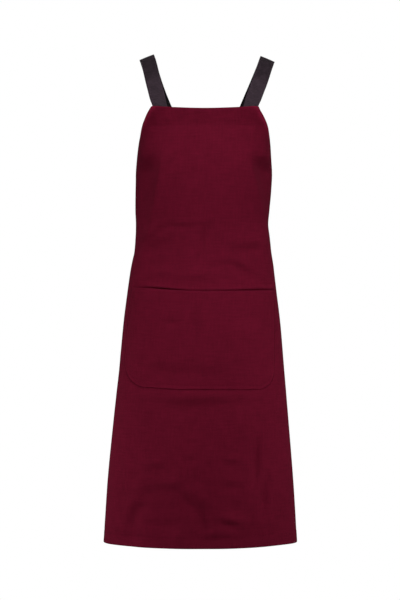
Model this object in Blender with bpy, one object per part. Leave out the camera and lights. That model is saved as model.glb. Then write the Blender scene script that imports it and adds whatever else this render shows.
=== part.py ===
"""A cotton cross-back bib apron in its worn shape.

Four sewn pieces, each one closed solid:
  apron_panel   the bib and the wrap-round skirt, cut as one sheet of cloth
  pocket        the wide patch pocket across the front of the skirt
  strap_left    tape from the bib's left top corner over the left shoulder to the right back corner
  strap_right   tape from the bib's right top corner over the right shoulder to the left back corner

Tables and sizes are in millimetres and degrees, and the meshes are written in metres.
The origin lies midway between the two strap crests. +Z is up, the front faces -Y and +X is the
side that is on the right when one looks at the front.
"""

import math

import bmesh
import bpy
import numpy as np

MM = 0.001

# ---------------------------------------------------------------- driving sizes
CLOTH_WALL = 1.2          # cloth of the panel and the pocket
STRAP_WALL = 1.6          # woven tape of the straps
STRAP_WIDTH = 32.0
POCKET_GAP = 0.9          # air between the pocket's sewn edges and the panel
LAP_GAP = 1.0             # air between a strap's hidden ends and the inside of the panel
BIB_TOP = -108.0
BIB_TOP_SAG = 4.0         # how far the middle of the bib's top edge hangs below its corners
HEM = -1009.0
FRONT_LAP = 38.0          # strap length hidden behind the bib's top hem
BACK_LAP = 30.0           # strap length hidden inside the back corner
POCKET_TOP = -486.0
POCKET_BOTTOM = -688.0
POCKET_CORNERS = (52.0, 38.0)   # radii of the rounded lower corners, left and right
POCKET_SLACK = 9.5        # how far the middle of the pocket mouth stands off the panel
PANEL_COLUMNS = 36
POCKET_COLUMNS = 30
POCKET_ROWS = 12
STRAP_COLUMNS = 3
STRAP_STEP = 13.0         # length of one facet of tape

# Level sections of the worn panel. Each is a rounded oblong about (centre, 0): half_width to
# either side, front and back depth, squareness 2 for an ellipse and more for a flatter front.
# edge is the angle from the front middle at which the cloth ends on either side.
SECTION_COLUMNS = ("height", "centre", "half_width", "front", "back", "squareness", "edge")
SECTIONS = (
    (-108.0, -4.6, 145.0, 92.0, 96.0, 4.4, 52.3),
    (-118.0, -5.2, 139.5, 95.0, 96.0, 3.8, 55.1),
    (-134.5, -4.6, 138.0, 100.0, 96.0, 3.2, 61.2),
    (-150.0, -4.4, 137.0, 106.0, 96.0, 3.0, 66.7),
    (-166.0, -4.6, 136.4, 112.0, 96.0, 2.9, 71.5),
    (-182.0, -5.2, 137.1, 117.0, 96.0, 2.9, 76.0),
    (-215.0, -6.1, 139.5, 124.0, 96.0, 2.9, 88.0),
    (-247.0, -6.4, 141.8, 125.5, 95.0, 2.9, 97.0),
    (-280.0, -7.6, 141.2, 122.5, 92.0, 2.8, 103.5),
    (-322.0, -9.7, 139.4, 116.0, 87.0, 2.6, 110.0),
    (-347.0, -10.3, 137.8, 111.5, 85.0, 2.5, 114.5),
    (-372.0, -9.2, 139.4, 107.5, 84.0, 2.5, 119.0),
    (-405.0, -8.6, 142.6, 104.5, 86.0, 2.5, 127.0),
    (-425.0, -9.3, 146.3, 104.8, 89.0, 2.45, 134.5),
    (-438.0, -9.6, 148.6, 105.4, 91.0, 2.4, 142.5),
    (-446.0, -9.9, 149.7, 106.0, 92.0, 2.4, 150.0),
    (-498.0, -10.5, 156.5, 111.0, 102.0, 2.35, 151.0),
    (-548.0, -10.6, 162.8, 116.5, 111.0, 2.3, 151.0),
    (-648.0, -11.2, 171.8, 126.0, 123.0, 2.25, 151.0),
    (-748.0, -12.7, 181.7, 134.0, 132.0, 2.2, 151.0),
    (-898.0, -14.1, 195.2, 143.0, 142.0, 2.15, 151.0),
    (-1009.0, -14.2, 202.1, 150.0, 150.0, 2.1, 151.0),
)

# Rows of the panel's mesh: from one height down to the next in this many steps.
ROW_COLUMNS = ("start", "end", "steps")
PANEL_ROWS = (
    (BIB_TOP, -134.0, 3),
    (-134.0, -230.0, 6),
    (-230.0, -400.0, 10),
    (-400.0, -446.0, 5),
    (-446.0, HEM, 18),
)

# Soft dents (depth below 0) and swells (depth above 0) of the cloth, each seen from the front:
# middle, half length along its own direction, half width across it, and the turn of its
# direction from level.
FOLD_COLUMNS = ("name", "x", "z", "half_length", "half_width", "turn", "depth")
FOLDS = (
    ("left_chest_dent", -121.0, -243.0, 62.0, 16.0, 80.0, -5.0),
    ("right_chest_dent", 106.0, -236.0, 56.0, 14.0, -78.0, -4.5),
    ("left_waist_crease", -50.0, -348.0, 60.0, 9.0, -6.0, -1.6),
    ("right_waist_crease", 84.0, -394.0, 34.0, 8.0, -16.0, -1.8),
    ("middle_waist_crease", 48.0, -436.0, 48.0, 8.0, -18.0, -1.6),
    ("left_skirt_fold", -30.0, -915.0, 120.0, 24.0, 74.0, -3.0),
    ("middle_skirt_fold", 52.0, -955.0, 110.0, 22.0, -80.0, -2.6),
    ("left_side_fold", -146.0, -900.0, 130.0, 20.0, 84.0, 2.6),
    ("right_side_fold", 112.0, -880.0, 150.0, 22.0, -86.0, 2.8),
)

# Front outline of the pocket's two sides, in the angle from the front middle.
POCKET_SIDE_COLUMNS = ("height", "left", "right")
POCKET_SIDES = (
    (-478.0, -70.5, 73.5),
    (-560.0, -71.0, 68.5),
    (-630.0, -70.0, 64.5),
    (-700.0, -66.5, 62.5),
)
# Height of the pocket mouth above POCKET_TOP at its left end, its middle and its right end.
POCKET_MOUTH = (7.5, -2.0, 0.5)

# Middle line of each strap from the bib's top edge to the back, and the way that the tape faces.
ROUTE_COLUMNS = ("x", "y", "z", "face_x", "face_y", "face_z")
STRAP_LEFT_ROUTE = (
    (-101.6, -81.5, -91.0, -0.18, -0.95, 0.26),
    (-106.5, -75.5, -72.0, -0.22, -0.90, 0.38),
    (-111.3, -67.0, -52.8, -0.26, -0.82, 0.52),
    (-116.0, -54.0, -33.0, -0.31, -0.65, 0.70),
    (-121.6, -32.0, -11.5, -0.36, -0.34, 0.87),
    (-126.0, 0.0, 1.0, -0.38, 0.00, 0.92),
    (-123.5, 28.0, -5.5, -0.34, 0.34, 0.88),
    (-118.4, 50.0, -22.0, -0.26, 0.68, 0.69),
    (-109.5, 70.0, -50.0, -0.16, 0.88, 0.45),
    (-94.5, 84.0, -89.0, -0.08, 0.96, 0.26),
    (-71.5, 92.5, -140.0, -0.03, 0.99, 0.10),
    (-46.5, 95.5, -195.0, 0.00, 1.00, 0.02),
    (-22.0, 95.0, -250.0, 0.00, 1.00, -0.04),
    (0.0, 93.0, -300.0, 0.03, 1.00, -0.05),
    (22.5, 90.0, -350.0, 0.08, 1.00, -0.06),
    (45.0, 86.0, -400.0, 0.18, 0.98, -0.02),
)
STRAP_RIGHT_ROUTE = (
    (95.5, -81.5, -91.0, 0.18, -0.95, 0.26),
    (102.6, -75.5, -72.0, 0.22, -0.90, 0.38),
    (109.8, -67.0, -52.8, 0.26, -0.82, 0.52),
    (116.0, -54.0, -33.5, 0.31, -0.65, 0.70),
    (122.6, -32.0, -13.5, 0.36, -0.34, 0.87),
    (126.4, 0.0, -2.6, 0.38, 0.00, 0.92),
    (124.0, 28.0, -8.5, 0.34, 0.34, 0.88),
    (117.6, 50.0, -24.0, 0.26, 0.68, 0.69),
    (106.0, 70.0, -51.0, 0.16, 0.88, 0.45),
    (89.5, 84.0, -89.0, 0.08, 0.96, 0.26),
    (68.0, 92.5, -140.0, 0.03, 0.99, 0.10),
    (44.5, 97.0, -195.0, 0.00, 1.00, 0.02),
    (21.5, 98.0, -250.0, 0.00, 1.00, -0.04),
    (0.0, 96.4, -300.0, -0.03, 1.00, -0.05),
    (-22.5, 91.5, -350.0, -0.08, 1.00, -0.06),
    (-46.0, 86.0, -400.0, -0.18, 0.98, -0.02),
)
# Where each strap's hidden ends lie on the inside of the panel: front x at the bib's top edge and
# its lean per millimetre down, and the same for the back corner.
STRAP_END_COLUMNS = ("front_x", "front_lean", "back_x", "back_z", "back_lean")
STRAP_LEFT_ENDS = (-97.4, 0.24, 66.0, -446.0, 0.44)
STRAP_RIGHT_ENDS = (90.2, -0.28, -68.0, -446.0, -0.44)

MATERIALS = (
    ("apron_panel", (0.1095, 0.0048, 0.0172), 0.85),
    ("pocket", (0.1060, 0.0046, 0.0166), 0.85),
    ("strap_left", (0.0410, 0.0270, 0.0360), 0.80),
    ("strap_right", (0.0410, 0.0270, 0.0360), 0.80),
)


# ---------------------------------------------------------------- curves through tables
def through(knots, values, at):
    """A smooth curve through the table's points that never overshoots between two of them."""
    knots, values, at = (np.asarray(each, float) for each in (knots, values, at))
    if knots[0] > knots[-1]:
        knots, values = knots[::-1], values[::-1]
    step = np.diff(knots)
    rise = np.diff(values) / step
    slope = np.zeros(len(knots))
    slope[0], slope[-1] = rise[0], rise[-1]
    before, after = rise[:-1], rise[1:]
    turning = before * after > 0
    near, far = 2 * step[1:] + step[:-1], step[1:] + 2 * step[:-1]
    joined = np.where(turning, before * after, 1.0)
    slope[1:-1] = np.where(turning, (near + far) * joined / (near * after + far * before + (~turning)), 0.0)
    at = np.clip(at, knots[0], knots[-1])
    index = np.clip(np.searchsorted(knots, at, side="right") - 1, 0, len(step) - 1)
    part = (at - knots[index]) / step[index]
    return (
        values[index] * (1 + 2 * part) * (1 - part) ** 2
        + slope[index] * step[index] * part * (1 - part) ** 2
        + values[index + 1] * part**2 * (3 - 2 * part)
        + slope[index + 1] * step[index] * part**2 * (part - 1)
    )


def column(name, height):
    place = SECTION_COLUMNS.index(name)
    return through([row[0] for row in SECTIONS], [row[place] for row in SECTIONS], height)


# ---------------------------------------------------------------- the worn surface
def on_section(angle, height):
    """Points of the level section at this height, at this angle from the front middle."""
    depth = np.where(np.cos(angle) > 0, column("front", height), column("back", height))
    power = column("squareness", height)
    across = np.abs(np.sin(angle)) / column("half_width", height)
    along = np.abs(np.cos(angle)) / depth
    reach = (across**power + along**power) ** (-1.0 / power)
    return np.stack(
        [column("centre", height) + reach * np.sin(angle), -reach * np.cos(angle), height + 0 * angle],
        axis=-1,
    )


def folds_at(points):
    """Height of the soft folds at these points, for the front half of the cloth."""
    total = np.zeros(points.shape[:-1])
    for _, x, z, half_length, half_width, turn, depth in FOLDS:
        turn = math.radians(turn)
        right, up = points[..., 0] - x, points[..., 2] - z
        along = (right * math.cos(turn) + up * math.sin(turn)) / half_length
        across = (up * math.cos(turn) - right * math.sin(turn)) / half_width
        total += depth * np.exp(-(along**2 + across**2))
    return total * np.clip(-points[..., 1] / 30.0 + 0.5, 0.0, 1.0)


def surface(angle, height, offset=0.0):
    """The middle of the worn cloth, moved out along its normal by offset."""
    step = 0.01
    angle, height = np.broadcast_arrays(np.asarray(angle, float), np.asarray(height, float))
    points = on_section(angle, height)
    round_way = on_section(angle + step, height) - on_section(angle - step, height)
    down_way = on_section(angle, height - 1.0) - on_section(angle, height + 1.0)
    normal = np.cross(down_way, round_way)
    normal /= np.linalg.norm(normal, axis=-1, keepdims=True)
    return points + normal * (folds_at(points) + offset)[..., None]


def angle_at_front(x, height):
    """Angle from the front middle at which the front of the section has this x."""
    right = np.clip((x - column("centre", height)) / column("half_width", height), -0.999, 0.999)
    power = column("squareness", height)
    ahead = column("front", height) * (1 - np.abs(right) ** power) ** (1 / power)
    return np.arctan2(right * column("half_width", height), ahead)


def angle_at_back(x, height):
    right = np.clip((x - column("centre", height)) / column("half_width", height), -0.999, 0.999)
    power = column("squareness", height)
    behind = column("back", height) * (1 - np.abs(right) ** power) ** (1 / power)
    return np.arctan2(right * column("half_width", height), -behind)


# ---------------------------------------------------------------- solids
def sheet(name, grid, wall):
    """A sheet of this wall about a grid of points in rows from the top down."""
    rows, columns = grid.shape[:2]
    shape = bmesh.new()
    bmesh.ops.create_grid(shape, x_segments=columns - 1, y_segments=rows - 1, size=0.5)
    for point in shape.verts:
        row = round((0.5 - point.co.y) * (rows - 1))
        place = round((point.co.x + 0.5) * (columns - 1))
        point.co = grid[row, place] * MM
    for face in shape.faces:
        face.smooth = True
    mesh = bpy.data.meshes.new(name)
    shape.to_mesh(mesh)
    shape.free()
    thing = bpy.data.objects.new(name, mesh)
    bpy.context.scene.collection.objects.link(thing)
    thickness = thing.modifiers.new("cloth_wall", "SOLIDIFY")
    thickness.thickness = wall * MM
    thickness.offset = 0.0
    return thing


def give_material(thing, colour, roughness):
    material = bpy.data.materials.new(thing.name + "_cloth")
    material.use_nodes = True
    shader = material.node_tree.nodes["Principled BSDF"]
    shader.inputs["Base Color"].default_value = (*colour, 1.0)
    shader.inputs["Roughness"].default_value = roughness
    material.diffuse_color = (*colour, 1.0)
    thing.data.materials.append(material)


# ---------------------------------------------------------------- the pieces
def panel_rows():
    heights = [PANEL_ROWS[0][0]]
    for start, end, steps in PANEL_ROWS:
        heights += list(np.linspace(start, end, steps + 1)[1:])
    return np.array(heights)


def panel_grid():
    heights = panel_rows()
    across = np.linspace(-1.0, 1.0, PANEL_COLUMNS + 1)
    height, place = np.meshgrid(heights, across, indexing="ij")
    # The top edge sags between the straps, and the sag dies out down the bib.
    sag = BIB_TOP_SAG * (1 - place**2) * np.clip((height + 160.0) / 52.0, 0.0, 1.0)
    angle = np.radians(column("edge", height)) * place
    return surface(angle, height - sag)


def pocket_grid():
    rows = np.linspace(0.0, 1.0, POCKET_ROWS + 1)
    # Rows crowd towards the bottom, where the corners turn.
    rows = 1 - (1 - rows) ** 1.8
    across = np.linspace(-1.0, 1.0, POCKET_COLUMNS + 1)
    down, place = np.meshgrid(rows, across, indexing="ij")
    left, middle, right = POCKET_MOUTH
    mouth = POCKET_TOP + middle + np.where(place < 0, left - middle, right - middle) * np.abs(place) ** 1.6
    height = mouth + (POCKET_BOTTOM - mouth) * down
    level = POCKET_TOP + (POCKET_BOTTOM - POCKET_TOP) * down
    cuts = []
    for corner in POCKET_CORNERS:
        above = np.clip(corner - (level - POCKET_BOTTOM), 0.0, corner)
        cuts.append(corner - np.sqrt(corner**2 - above**2))
    knots = [row[0] for row in POCKET_SIDES]
    left_edge = np.radians(through(knots, [row[1] for row in POCKET_SIDES], level)) + cuts[0] / 150.0
    right_edge = np.radians(through(knots, [row[2] for row in POCKET_SIDES], level)) - cuts[1] / 150.0
    angle = left_edge + (right_edge - left_edge) * (place + 1) / 2
    slack = POCKET_SLACK * np.cos(place * math.pi / 2) ** 0.8 * (1 - down) ** 1.6
    return surface(angle, height, (CLOTH_WALL + POCKET_GAP) + slack)


def strap_grid(route, ends):
    """Rows of points along the tape, from the hidden front end to the hidden back end."""
    front_x, front_lean, back_x, back_z, back_lean = ends
    inset = -(CLOTH_WALL + STRAP_WALL) / 2 - LAP_GAP
    middles, faces = [], []
    for height in (BIB_TOP - FRONT_LAP, BIB_TOP - FRONT_LAP * 0.5, BIB_TOP + 1.0):
        angle = angle_at_front(front_x + front_lean * (BIB_TOP - height), height)
        middle = surface(angle, height, inset)
        middles.append(middle)
        faces.append(surface(angle, height, inset + 1.0) - middle)
    for x, y, z, face_x, face_y, face_z in route:
        middles.append(np.array([x, y, z]))
        faces.append(np.array([face_x, face_y, face_z]))
    for height in (back_z + 18.0, back_z, back_z - BACK_LAP):
        angle = angle_at_back(back_x + back_lean * (back_z - height), height)
        middle = surface(angle, height, inset)
        middles.append(middle)
        faces.append(surface(angle, height, inset + 1.0) - middle)
    middles, faces = np.array(middles), np.array(faces)
    length = np.concatenate([[0.0], np.cumsum(np.linalg.norm(np.diff(middles, axis=0), axis=1))])
    count = int(round(length[-1] / STRAP_STEP))
    at = np.linspace(0.0, length[-1], count + 1)
    line = np.stack([spline(length, middles[:, axis], at) for axis in range(3)], axis=1)
    face = np.stack([spline(length, faces[:, axis], at) for axis in range(3)], axis=1)
    way = np.gradient(line, axis=0)
    way /= np.linalg.norm(way, axis=1, keepdims=True)
    side = np.cross(way, face)
    side /= np.linalg.norm(side, axis=1, keepdims=True)
    across = np.linspace(0.5, -0.5, STRAP_COLUMNS + 1) * STRAP_WIDTH
    flat = line[:, None, :] + side[:, None, :] * across[None, :, None]
    # Where the tape lies inside the panel it takes the panel's curve across its width.
    height = flat[..., 2]
    front = surface(angle_at_front(flat[..., 0], height), height, inset)
    behind = surface(angle_at_back(flat[..., 0], height), height, inset)
    to_front = (line[:, 1] < 0) * fade(line[:, 2], BIB_TOP + 22.0, BIB_TOP + 2.0)
    to_back = (line[:, 1] > 0) * fade(line[:, 2], back_z + 45.0, back_z + 18.0)
    to_front, to_back = to_front[:, None, None], to_back[:, None, None]
    return flat + (front - flat) * to_front + (behind - flat) * to_back


def fade(at, start, end):
    """0 at start, 1 at end, and level at both."""
    part = np.clip((at - start) / (end - start), 0.0, 1.0)
    return part * part * (3 - 2 * part)


def spline(knots, values, at):
    """A natural cubic spline through the knots."""
    knots, values = np.asarray(knots, float), np.asarray(values, float)
    step, rise = np.diff(knots), np.diff(values) / np.diff(knots)
    count = len(knots)
    matrix, target = np.eye(count), np.zeros(count)
    for place in range(1, count - 1):
        matrix[place, place - 1 : place + 2] = (step[place - 1], 2 * (step[place - 1] + step[place]), step[place])
        target[place] = 6 * (rise[place] - rise[place - 1])
    bend = np.linalg.solve(matrix, target)
    index = np.clip(np.searchsorted(knots, at, side="right") - 1, 0, count - 2)
    width, low, high = step[index], at - knots[index], knots[index + 1] - at
    return (
        bend[index] * high**3 / (6 * width)
        + bend[index + 1] * low**3 / (6 * width)
        + (values[index] / width - bend[index] * width / 6) * high
        + (values[index + 1] / width - bend[index + 1] * width / 6) * low
    )


def build():
    for thing in list(bpy.data.objects):
        bpy.data.objects.remove(thing, do_unlink=True)
    built = {
        "apron_panel": sheet("apron_panel", panel_grid(), CLOTH_WALL),
        "pocket": sheet("pocket", pocket_grid(), CLOTH_WALL),
        "strap_left": sheet("strap_left", strap_grid(STRAP_LEFT_ROUTE, STRAP_LEFT_ENDS), STRAP_WALL),
        "strap_right": sheet("strap_right", strap_grid(STRAP_RIGHT_ROUTE, STRAP_RIGHT_ENDS), STRAP_WALL),
    }
    for name, colour, roughness in MATERIALS:
        give_material(built[name], colour, roughness)


build()
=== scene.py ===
"""Looks of a cotton cross-back bib apron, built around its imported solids.

Tables and sizes are in millimetres and degrees until a mesh is written, which is in metres.
"""

import math

import bpy
import numpy as np
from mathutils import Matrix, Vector


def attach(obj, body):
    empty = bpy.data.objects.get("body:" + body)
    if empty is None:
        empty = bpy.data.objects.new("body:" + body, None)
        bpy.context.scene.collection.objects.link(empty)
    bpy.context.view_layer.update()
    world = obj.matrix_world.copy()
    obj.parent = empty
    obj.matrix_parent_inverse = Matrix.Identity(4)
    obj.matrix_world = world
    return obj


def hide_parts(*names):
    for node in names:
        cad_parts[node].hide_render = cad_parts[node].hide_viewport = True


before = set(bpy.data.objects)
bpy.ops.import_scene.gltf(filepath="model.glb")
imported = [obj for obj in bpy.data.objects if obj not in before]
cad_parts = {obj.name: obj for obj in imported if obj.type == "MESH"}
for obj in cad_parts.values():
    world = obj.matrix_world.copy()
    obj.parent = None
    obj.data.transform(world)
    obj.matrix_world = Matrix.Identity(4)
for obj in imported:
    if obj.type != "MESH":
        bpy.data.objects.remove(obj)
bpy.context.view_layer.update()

MM = 0.001

# ---------------------------------------------------------------- sizes
CLOTH_WALL = 0.9
FOLD_RADIUS = 0.68        # of a hem's turned edge, to the middle of the cloth
STRAP_WIDTH = 32.0
STRAP_INSET = -2.95       # of the strap ends behind the cloth and its turned hem
BIB_TOP = -108.0
BIB_TOP_SAG = 4.0
HEM = -1009.0
FRONT_LAP = 38.0
BACK_LAP = 30.0
POCKET_TOP = -486.0
POCKET_BOTTOM = -688.0
POCKET_CORNERS = (54.0, 38.0)
POCKET_BOTTOM_RISE = 3.5  # of the pocket's lower edge towards its left corner
POCKET_LIFT = 1.7
TOP_FACING = 38.0         # depth of the bib's turned top hem
SIDE_HEM = 11.0           # stitch line of the armhole and back-edge hems
BOTTOM_HEM = 22.0         # stitch line of the bottom hem
POCKET_HEM = 26.0         # stitch line below the pocket mouth

SECTION_COLUMNS = ("height", "centre", "half_width", "front", "back", "squareness", "edge")
SECTIONS = (
    (-108.0, -4.6, 145.0, 92.0, 96.0, 4.4, 51.7),
    (-118.0, -5.2, 139.5, 95.0, 96.0, 3.8, 55.1),
    (-134.5, -4.6, 138.0, 100.0, 96.0, 3.2, 61.2),
    (-150.0, -4.4, 137.0, 106.0, 96.0, 3.0, 66.7),
    (-166.0, -4.6, 136.4, 112.0, 96.0, 2.9, 71.5),
    (-182.0, -5.2, 137.1, 117.0, 96.0, 2.9, 76.0),
    (-215.0, -6.1, 139.5, 124.0, 96.0, 2.9, 88.0),
    (-247.0, -6.4, 141.8, 125.5, 95.0, 2.9, 97.0),
    (-280.0, -7.6, 141.2, 122.5, 92.0, 2.8, 103.5),
    (-322.0, -9.7, 139.4, 116.0, 87.0, 2.6, 110.0),
    (-347.0, -10.3, 137.8, 111.5, 85.0, 2.5, 114.5),
    (-372.0, -9.2, 139.4, 107.5, 84.0, 2.5, 119.0),
    (-405.0, -8.6, 142.6, 104.5, 86.0, 2.5, 127.0),
    (-425.0, -9.3, 146.3, 104.8, 89.0, 2.45, 134.5),
    (-438.0, -9.6, 148.6, 105.4, 91.0, 2.4, 142.5),
    (-446.0, -9.9, 149.7, 106.0, 92.0, 2.4, 150.0),
    (-498.0, -10.5, 156.5, 111.0, 102.0, 2.35, 151.0),
    (-548.0, -10.6, 162.8, 116.5, 111.0, 2.3, 151.0),
    (-648.0, -11.2, 171.8, 126.0, 123.0, 2.25, 151.0),
    (-748.0, -12.7, 181.7, 134.0, 132.0, 2.2, 151.0),
    (-898.0, -14.1, 195.2, 143.0, 142.0, 2.15, 151.0),
    (-1009.0, -14.2, 202.1, 150.0, 150.0, 2.1, 151.0),
)

# Soft folds of the cloth, each seen from the front: middle, half length along its own direction,
# half width across it and the turn of that direction from level. Depth dents (below 0) or swells
# it. Roll lifts its upper side and sinks its lower side.
FOLD_COLUMNS = ("name", "x", "z", "half_length", "half_width", "turn", "depth", "roll")
FOLDS = (
    ("top_hem_right", 38.0, -138.0, 38.0, 8.0, 0.0, 0.0, 2.0),
    ("top_hem_left", -66.0, -140.0, 30.0, 7.0, 3.0, 0.0, 1.4),
    ("waist_crease", -54.0, -351.0, 35.0, 8.5, 2.0, 0.0, 3.9),
    ("waist_crease_left", -102.0, -364.0, 28.0, 11.0, 38.0, 0.0, 6.2),
    ("waist_crease_right", -8.0, -349.0, 22.0, 8.0, 6.0, 0.0, 1.4),
    ("waist_left", -98.0, -385.0, 26.0, 18.0, 24.0, 0.0, 6.4),
    ("waist_side_left", -106.0, -434.0, 44.0, 15.0, 84.0, -4.0, 0.0),
    ("waist_middle", -13.0, -384.0, 20.0, 8.0, 88.0, -4.2, 0.0),
    ("waist_right", 84.0, -395.0, 31.0, 14.0, 0.0, 0.0, 6.4),
    ("waist_arc_left", 28.0, -429.0, 28.0, 9.0, 6.0, 0.0, 3.6),
    ("waist_arc_right", 78.0, -442.0, 32.0, 12.0, -30.0, 0.0, 6.0),
    ("waist_low_left", -92.0, -456.0, 32.0, 12.0, 0.0, 0.0, 4.8),
    ("waist_low_middle", -20.0, -461.0, 24.0, 12.0, 0.0, 0.0, 5.6),
    ("pocket_spot", -72.0, -546.0, 20.0, 14.0, 0.0, 0.0, 5.2),
    ("pocket_upright", -24.0, -568.0, 34.0, 9.0, 88.0, -4.2, 0.0),
    ("pocket_low", -44.0, -642.0, 82.0, 20.0, -3.0, 0.0, 6.0),
    ("pocket_right", 88.0, -560.0, 36.0, 20.0, 0.0, 0.0, -4.0),
    ("under_pocket", -22.0, -709.0, 90.0, 15.0, 0.0, 0.0, 8.4),
    ("under_pocket_middle", -38.0, -724.0, 42.0, 20.0, 0.0, 0.0, 9.0),
    ("skirt_left_turn", -166.0, -812.0, 110.0, 9.0, 91.5, 1.5, 0.0),
    ("skirt_right_turn", 138.0, -812.0, 110.0, 9.0, 88.0, 1.5, 0.0),
    ("skirt_spot_left", -102.0, -843.0, 15.0, 12.0, 0.0, 0.0, 6.8),
    ("skirt_spot_right", 48.0, -833.0, 20.0, 10.0, -6.0, 0.0, 5.0),
    ("skirt_line_right", 103.0, -828.0, 48.0, 8.0, 87.0, -8.0, -7.0),
    ("skirt_line_low", 119.0, -906.0, 32.0, 8.0, 86.0, -7.5, -6.0),
    ("arch_left", -146.0, -924.0, 42.0, 13.0, 64.0, 0.0, 6.6),
    ("arch_left_spot", -138.0, -925.0, 15.0, 11.0, 20.0, 0.0, 3.4),
    ("arch_top", -108.0, -888.0, 46.0, 17.0, 6.0, 0.0, 5.8),
    ("arch_bend", -60.0, -890.0, 28.0, 17.0, -18.0, 0.0, 5.0),
    ("arch_right", -29.0, -911.0, 24.0, 19.0, -46.0, 0.0, 14.0),
    ("arch_end", -5.0, -956.0, 34.0, 14.0, -80.0, -6.0, 4.0),
    ("arch_above", -46.0, -870.0, 26.0, 14.0, 28.0, 0.0, 5.0),
    ("arch_inside", -88.0, -955.0, 44.0, 16.0, 6.0, 0.0, 5.0),
    ("skirt_dark", 46.0, -957.0, 22.0, 12.0, -14.0, 0.0, 11.0),
    ("skirt_level", 50.0, -880.0, 23.0, 11.0, 0.0, 0.0, 5.6),
    ("skirt_right_middle", 56.0, -915.0, 26.0, 20.0, 0.0, 0.0, 3.4),
    ("skirt_low", 22.0, -984.0, 36.0, 11.0, 2.0, 0.0, 6.6),
    ("skirt_low_left", -150.0, -970.0, 32.0, 15.0, 84.0, -7.0, -2.0),
    ("skirt_corner_left", -152.0, -984.0, 40.0, 14.0, 0.0, 0.0, 6.0),
    ("skirt_middle_left", -84.0, -922.0, 40.0, 34.0, 0.0, 0.0, 5.0),
)

# Hollows beside the bust: where the cloth first turns back, how far down that lasts, where its
# inner edge runs, and how steeply it turns back towards the side.
HOLLOW_COLUMNS = ("name", "side", "top", "full", "bottom", "inner_top", "inner_bottom", "slope")
HOLLOWS = (
    ("left_bust_hollow", -1, -203.0, -245.0, -430.0, 87.0, 130.0, 1.32),
    ("right_bust_hollow", 1, -206.0, -244.0, -420.0, 82.0, 138.0, 1.95),
)

POCKET_SIDE_COLUMNS = ("height", "left", "right")
POCKET_SIDES = (
    (-478.0, -70.5, 73.5),
    (-560.0, -71.0, 68.5),
    (-630.0, -70.0, 64.5),
    (-700.0, -66.5, 62.5),
)
POCKET_MOUTH = (7.5, -2.0, 0.5)
# Where the pocket mouth stands off the panel: place from -1 at its left end, spread and distance.
SLACK_COLUMNS = ("place", "spread", "distance")
POCKET_SLACKS = ((-0.66, 0.26, 5.6), (0.0, 0.42, 3.6), (0.66, 0.26, 5.4))
# Just above its mouth the panel rolls in behind the pocket: where, over what width and how far.
MOUTH_CREASE_COLUMNS = ("x", "spread", "roll")
MOUTH_CREASES = ((-98.0, 24.0, 9.5), (-62.0, 26.0, 4.0), (-8.0, 60.0, 3.4), (88.0, 26.0, 9.0), (50.0, 24.0, 2.4), (128.0, 20.0, 5.0))

ROUTE_COLUMNS = ("x", "y", "z", "face_x", "face_y", "face_z")
STRAP_LEFT_ROUTE = (
    (-101.6, -81.5, -91.0, -0.18, -0.95, 0.26),
    (-106.5, -75.5, -72.0, -0.22, -0.90, 0.38),
    (-111.3, -67.0, -52.8, -0.26, -0.82, 0.52),
    (-116.0, -54.0, -33.0, -0.31, -0.65, 0.70),
    (-121.6, -32.0, -11.5, -0.36, -0.34, 0.87),
    (-126.0, 0.0, 1.0, -0.38, 0.00, 0.92),
    (-123.5, 28.0, -5.5, -0.34, 0.34, 0.88),
    (-118.4, 50.0, -22.0, -0.26, 0.68, 0.69),
    (-109.5, 70.0, -50.0, -0.16, 0.88, 0.45),
    (-94.5, 84.0, -89.0, -0.08, 0.96, 0.26),
    (-71.5, 92.5, -140.0, -0.03, 0.99, 0.10),
    (-46.5, 95.5, -195.0, 0.00, 1.00, 0.02),
    (-22.0, 95.0, -250.0, 0.00, 1.00, -0.04),
    (0.0, 93.0, -300.0, 0.03, 1.00, -0.05),
    (22.5, 90.0, -350.0, 0.08, 1.00, -0.06),
    (45.0, 86.0, -400.0, 0.18, 0.98, -0.02),
)
STRAP_RIGHT_ROUTE = (
    (95.5, -81.5, -91.0, 0.18, -0.95, 0.26),
    (102.6, -75.5, -72.0, 0.22, -0.90, 0.38),
    (109.8, -67.0, -52.8, 0.26, -0.82, 0.52),
    (116.0, -54.0, -33.5, 0.31, -0.65, 0.70),
    (122.6, -32.0, -13.5, 0.36, -0.34, 0.87),
    (126.4, 0.0, -2.6, 0.38, 0.00, 0.92),
    (124.0, 28.0, -8.5, 0.34, 0.34, 0.88),
    (117.6, 50.0, -24.0, 0.26, 0.68, 0.69),
    (106.0, 70.0, -51.0, 0.16, 0.88, 0.45),
    (89.5, 84.0, -89.0, 0.08, 0.96, 0.26),
    (68.0, 92.5, -140.0, 0.03, 0.99, 0.10),
    (44.5, 97.0, -195.0, 0.00, 1.00, 0.02),
    (21.5, 98.0, -250.0, 0.00, 1.00, -0.04),
    (0.0, 96.4, -300.0, -0.03, 1.00, -0.05),
    (-22.5, 91.5, -350.0, -0.08, 1.00, -0.06),
    (-46.0, 86.0, -400.0, -0.18, 0.98, -0.02),
)
STRAP_END_COLUMNS = ("front_x", "front_lean", "back_x", "back_z", "back_lean")
STRAP_LEFT_ENDS = (-97.4, 0.24, 66.0, -446.0, 0.44)
STRAP_RIGHT_ENDS = (90.2, -0.28, -68.0, -446.0, -0.44)

# ---------------------------------------------------------------- colours
CLOTH_COLOUR = (0.1260, 0.0060, 0.0203)
CLOTH_SHEEN = (1.0, 0.10, 0.22)
STRAP_COLOUR = (0.0435, 0.0278, 0.0376)
# The tape's reverse side is painted near black: painted shade where the back run of each strap shows inside its front
# run.
STRAP_REVERSE_SHADE = (0.0060, 0.0045, 0.0055)
THREAD_COLOUR = (0.105, 0.0034, 0.0155)


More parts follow.
